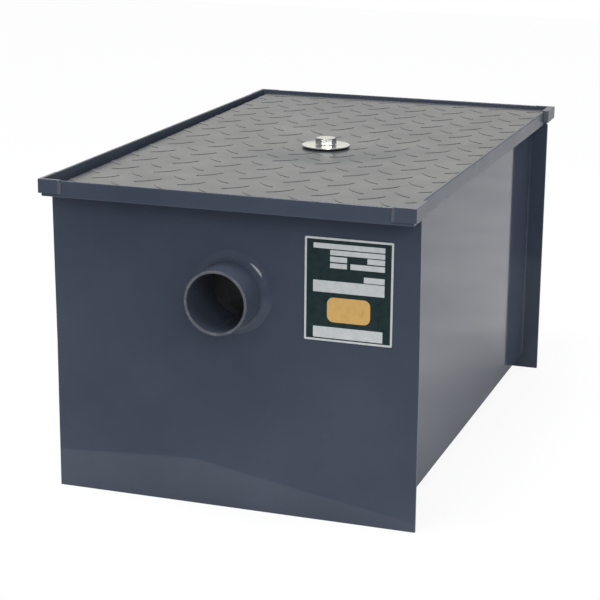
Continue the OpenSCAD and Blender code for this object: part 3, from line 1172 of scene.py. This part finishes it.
class TRAP_OT_washers(bpy.types.Operator):
    """Turn the steel washer with rounded edges, and paint the rubber washer"""

    bl_idname = "trap.washers"
    bl_label = "Washers"

    # Radius of the steel washer's bore, and the rounding of its edges
    BORE = 0.00665
    EDGE = 0.0005

    def execute(self, context):
        low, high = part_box("steel_washer")
        edge = self.EDGE
        outer = high.x
        inner = self.BORE
        section = [
            (inner, low.z + edge), (inner, high.z - edge), (inner + edge, high.z),
            (outer - 2 * edge, high.z), (outer - 0.6 * edge, high.z - 0.4 * edge),
            (outer, high.z - 1.4 * edge), (outer, low.z + edge), (outer - edge, low.z),
            (inner + edge, low.z), (inner, low.z + edge)]
        washer = lathe("washer_disc", section, Z)
        dress(washer, zinc(), "zinc", "washers", "steel_washer")
        repaint("rubber_washer", rubber())
        return {'FINISHED'}


class TRAP_OT_bolt(bpy.types.Operator):
    """Model the hold-down bolt with its chamfered hexagon head and rolled thread"""

    bl_idname = "trap.bolt"
    bl_label = "Hold-down bolt"

    # Radius of the shank, and width of the head across its flats
    SHANK = 0.00635
    FLATS = 0.019
    # Height of the collar under the head, and its width in shares of the flats
    COLLAR = 0.0006
    COLLAR_SHARE = 0.97
    # How far the chamfer cuts in, the rounding of the upright edges, and of the others past a fold
    CHAMFER = 0.0002
    UPRIGHT_EDGE = 0.0003
    HEAD_EDGE = 0.0002
    HEAD_FOLD = math.radians(20)
    # Chamfer of the point, length of the plain shank and of the cone below it
    POINT = 0.0006
    PLAIN = 0.015
    CONE = 0.001
    # Gaps from the thread to the point and to the cone, and how far its foot and crest go in
    THREAD_GAPS = (0.0008, 0.0005)
    ROOT = 0.0002
    CREST = 0.0001
    # Where the ridge's crest starts and ends and where its far foot stands, in shares of the pitch
    RIDGE = (0.42, 0.52, 0.94)

    def execute(self, context):
        size = sizes()
        low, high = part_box("hold_down_bolt")
        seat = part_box("steel_washer")[1].z
        shank = self.SHANK
        half_flats = self.FLATS / 2
        tall = high.z - seat
        collar = seat + self.COLLAR
        core = shank - size.thread_depth
        corner = self.FLATS / math.sqrt(3)
        head = start_rod("bolt_body", corner, (0, 0, collar), (0, 0, high.z), Z, vertices=6)
        turned(head, size.head_turn - math.radians(30))
        round_edges(head, self.UPRIGHT_EDGE, test=lambda edge: runs_along(edge, Z))
        clear_selection()
        bpy.ops.mesh.primitive_cone_add(
            vertices=96, radius1=half_flats + 2 * tall, radius2=half_flats - self.CHAMFER, depth=tall,
            location=(0, 0, seat + tall / 2))
        cut_with(head, settle("chamfer"), 'INTERSECT')
        soften(head, self.HEAD_EDGE, segments=2, angle=self.HEAD_FOLD)
        face = half_flats * self.COLLAR_SHARE
        plain = seat - self.PLAIN
        cone = plain - self.CONE
        section = [
            (0, low.z), (core - self.POINT, low.z), (core, low.z + self.POINT), (core, cone),
            (shank, plain), (shank, seat), (face, seat), (face, collar), (0, collar)]
        body = lathe("bolt_shank", section, Z, steps=48)
        thread = self.thread(low.z + self.THREAD_GAPS[0], cone - self.THREAD_GAPS[1], core, shank)
        join(head, body, thread)
        dress(head, zinc(), "zinc", "bolt", "hold_down_bolt")
        repaint("bar_nut", zinc())
        return {'FINISHED'}

    def thread(self, start, stop, core, crest):
        """A ridge of blunt triangular section that climbs round the shank."""
        pitch = sizes().thread_pitch
        turns = int((stop - start) / pitch)
        foot = core - self.ROOT
        ridge_top = crest - self.CREST
        rise, fall, end = [start + share * pitch for share in self.RIDGE]
        section = [(foot, start), (ridge_top, rise), (ridge_top, fall), (foot, end), (foot, start)]
        ridge = start_chain("ridge", [(radius, 0, along) for radius, along in section])
        edit(ridge)
        merge_doubles()
        leave()
        use_modifier(
            ridge, 'SCREW', axis='Z', angle=2 * math.pi, screw_offset=pitch, iterations=turns - 1,
            steps=24, render_steps=24, use_merge_vertices=False)
        edit(ridge)
        choose_all()
        bpy.ops.mesh.fill_holes(sides=6)
        close_up()
        leave()
        return ridge


class TRAP_OT_inside(bpy.types.Operator):
    """Paint the baffles, their guides, the hold-down bar and its brackets"""

    bl_idname = "trap.inside"
    bl_label = "Inside parts"

    def execute(self, context):
        for place in ("inlet", "middle", "outlet"):
            repaint(place + "_baffle", galvanised())
            repaint(place + "_left_guide", enamel())
            repaint(place + "_right_guide", enamel())
        for node in ("hold_down_bar", "left_bar_bracket", "right_bar_bracket"):
            repaint(node, enamel())
        return {'FINISHED'}


# Stage

class TRAP_OT_stage(bpy.types.Operator):
    """Set the pale floor, the soft studio light and the camera"""

    bl_idname = "trap.stage"
    bl_label = "Stage"

    CAMERA_PLACE = (0.5730, -1.7513, 0.6345)
    CAMERA_TURN = (74.800, -0.502, 19.043)
    CAMERA_LENS = 108.24
    # Name, place, aim, side and power of each lamp
    LAMPS = (
        ("overhead_lamp", (-0.2, -0.6, 2.2), (0, -0.2, 0.2), 0.8, 28),
        ("right_lamp", (1.1, -2.0, 1.3), (0, -0.3, 0.2), 0.9, 14))
    # Front corner of the floor, and where its two front edges run out
    FLOOR_CORNERS = ((-0.083, -0.3805), (3.0, 0.711), (3.0, 4.0), (-3.0, 4.0), (-3.0, 0.034))
    # The floor as the gloss shows it: its darker and lighter patches, and a painted shadow beside the tank
    FLOOR_TONES = (0.40, 0.58)
    BESIDE_REACH = 0.13
    BESIDE_PAINTED_SHADOW = 0.3
    # Shares of the floor's glow for the eye and for the gloss; the rest is lit paper with its shadow
    EYE_SHARE = 0.9
    GLOSS_SHARE = 0.6
    # Way to the bright wall behind the object, a little to the left, and where its side and foot fade
    WALL_WAY = (-0.42, 0.907, 0.0)
    WALL_SIDE = (0.70, 0.90)
    WALL_FOOT = (0.10, 0.22)
    WALL_WARMING = (0.20, 0.30)
    WALL_UNEVEN = 0.12
    # Heights over which the room turns from ground to dark, and from dark to dim
    GROUND_FADE = (-0.44, -0.22)
    DARK_FADE = (-0.10, 0.06)
    ROOM_STRENGTH = 1.2

    def beside(self, look):
        """Painted shadow on the floor's glow: runs from low right beside the tank to one a hand's width away
        from it.
        """
        faces = (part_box("right_side_wall")[1].x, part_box("outlet_end_plate")[1].y, 0)
        past = look.parts(look.vectors('SUBTRACT', look.vectors('ABSOLUTE', look.place), faces))
        away = look.maths('MAXIMUM', past["X"], past["Y"])
        return look.spread(away, 0.0, self.BESIDE_REACH, self.BESIDE_PAINTED_SHADOW, 1.0)

    def paper(self):
        """Pale paper: white to the eye, toned in the gloss of the object with patches and a painted shadow
        beside the tank, and lit elsewhere.
        """
        look = Finish("floor_paper")
        pale = colours().floor_pale
        look.paint(
            Base_Color=look.shade(look.noise(*PAPER_FIBRE), *MIDDLE, [c * FIBRE_SHADE for c in pale], pale),
            Roughness=PAPER_ROUGHNESS,
            Specular_IOR_Level=0.0)
        eye, gloss = look.sight()
        patches = look.spread(look.noise(*FLOOR_PATCHES), *NARROW, *self.FLOOR_TONES)
        # The glow that the gloss shows is darkened beside the tank as a painted shadow
        patches_and_painted_shadow = look.maths('MULTIPLY', patches, self.beside(look))
        glow = look.add('ShaderNodeEmission')
        look.feed_named(glow, Strength=look.maths('ADD', eye, look.maths('MULTIPLY', gloss, patches_and_painted_shadow)))
        mirrored_share = look.maths('MULTIPLY', gloss, self.GLOSS_SHARE)
        share = look.maths('MULTIPLY_ADD', eye, self.EYE_SHARE, mirrored_share)
        seen = look.blend(share, look.shader.outputs["BSDF"], glow.outputs["Emission"])
        look.feed_named(look.nodes["Material Output"], Surface=seen)
        return look.material

    def floor(self):
        """A pale sheet whose front corner lies just in front of the inlet end."""
        floor = start_chain("studio_floor", [(x, y, 0) for x, y in self.FLOOR_CORNERS])
        edit(floor)
        choose_all()
        bpy.ops.mesh.edge_face_add()
        bpy.ops.mesh.normals_make_consistent(inside=False)
        choose(floor, 'FACE', lambda f: f.normal.z < 0)
        if any(f.select for f in bmesh.from_edit_mesh(floor.data).faces):
            bpy.ops.mesh.flip_normals()
        leave()
        floor.data.materials.append(self.paper())

    def surroundings(self):
        """White to the eye, an even fill on the object, and in its gloss a dim room with a bright wall."""
        colour = colours()
        world = bpy.data.worlds.new("studio_room")
        bpy.context.scene.world = world
        look = NodeTree(world, "Generated")
        height = look.parts(look.place)["Z"]
        toward = look.vectors('DOT_PRODUCT', look.place, self.WALL_WAY)
        bright = look.maths(
            'MULTIPLY', look.spread(toward, *self.WALL_SIDE), look.spread(height, *self.WALL_FOOT))
        low_room = look.shade(
            look.spread(height, *self.GROUND_FADE), 0.0, 1.0, colour.room_ground, colour.room_dark)
        rest = look.mix(look.spread(height, *self.DARK_FADE), low_room, (*colour.room_dim, 1))
        warmth = look.maths('MULTIPLY_ADD', look.noise(*ROOM_PATCHES), self.WALL_UNEVEN, height)
        wall = look.shade(
            look.spread(warmth, *self.WALL_WARMING), 0.0, 1.0, colour.room_cool, colour.room_warm)
        fill = look.nodes["Background"]
        look.feed_named(fill, Color=(*colour.fill, 1))
        room = look.add('ShaderNodeBackground')
        look.feed_named(room, Color=look.mix(bright, rest, wall), Strength=self.ROOM_STRENGTH)
        backdrop = look.add('ShaderNodeBackground')
        look.feed_named(backdrop, Color=(1.0, 1.0, 1.0, 1))
        eye, gloss = look.sight()
        lit = look.blend(gloss, fill.outputs["Background"], room.outputs["Background"])
        seen = look.blend(eye, lit, backdrop.outputs["Background"])
        look.feed_named(look.nodes["World Output"], Surface=seen)

    def lamp(self, name, place, aim, side, power):
        """A square soft lamp that looks at a point."""
        clear_selection()
        turn = (Vector(aim) - Vector(place)).to_track_quat('-Z', 'Y').to_euler()
        bpy.ops.object.light_add(type='AREA', location=place, rotation=turn)
        lamp = bpy.context.object
        lamp.name = name
        lamp.data.shape = 'SQUARE'
        lamp.data.size = side
        lamp.data.energy = power

    def execute(self, context):
        self.floor()
        self.surroundings()
        for lamp in self.LAMPS:
            self.lamp(*lamp)
        clear_selection()
        bpy.ops.object.camera_add(
            location=self.CAMERA_PLACE, rotation=[math.radians(a) for a in self.CAMERA_TURN])
        camera = context.object
        camera.data.lens = self.CAMERA_LENS
        context.scene.camera = camera
        context.scene.view_settings.view_transform = 'Standard'
        return {'FINISHED'}


class TRAP_PT_pieces(bpy.types.Panel):
    """Lists the trap's pieces, sizes and colours"""

    bl_idname = "TRAP_PT_pieces"
    bl_label = "Grease trap"
    bl_space_type = 'VIEW_3D'
    bl_region_type = 'UI'
    bl_category = "Grease trap"

    def draw(self, context):
        for step in STEPS:
            self.layout.operator(step.bl_idname)
        for group in (context.scene.trap_sizes, context.scene.trap_colours):
            column = self.layout.column()
            for key in group.bl_rna.properties.keys():
                if key not in ("rna_type", "name"):
                    column.prop(group, key)


STEPS = (
    TRAP_OT_end_plates, TRAP_OT_side_walls, TRAP_OT_corner_beads, TRAP_OT_rim_bars, TRAP_OT_corner_caps,
    TRAP_OT_pipe_stubs, TRAP_OT_nameplate, TRAP_OT_gasket, TRAP_OT_cover, TRAP_OT_washers, TRAP_OT_bolt,
    TRAP_OT_inside, TRAP_OT_stage)
CLASSES = (TrapSizes, TrapColours) + STEPS + (TRAP_PT_pieces,)


def register():
    for item in CLASSES:
        bpy.utils.register_class(item)
    bpy.types.Scene.trap_sizes = PointerProperty(type=TrapSizes)
    bpy.types.Scene.trap_colours = PointerProperty(type=TrapColours)


def unregister():
    del bpy.types.Scene.trap_colours
    del bpy.types.Scene.trap_sizes
    for item in reversed(CLASSES):
        bpy.utils.unregister_class(item)


def main():
    register()
    bpy.ops.trap.end_plates()
    bpy.ops.trap.side_walls()
    bpy.ops.trap.corner_beads()
    bpy.ops.trap.rim_bars()
    bpy.ops.trap.corner_caps()
    bpy.ops.trap.pipe_stubs()
    bpy.ops.trap.nameplate()
    bpy.ops.trap.gasket()
    bpy.ops.trap.cover()
    bpy.ops.trap.washers()
    bpy.ops.trap.bolt()
    bpy.ops.trap.inside()
    bpy.ops.trap.stage()


if __name__ == "__main__":
    main()
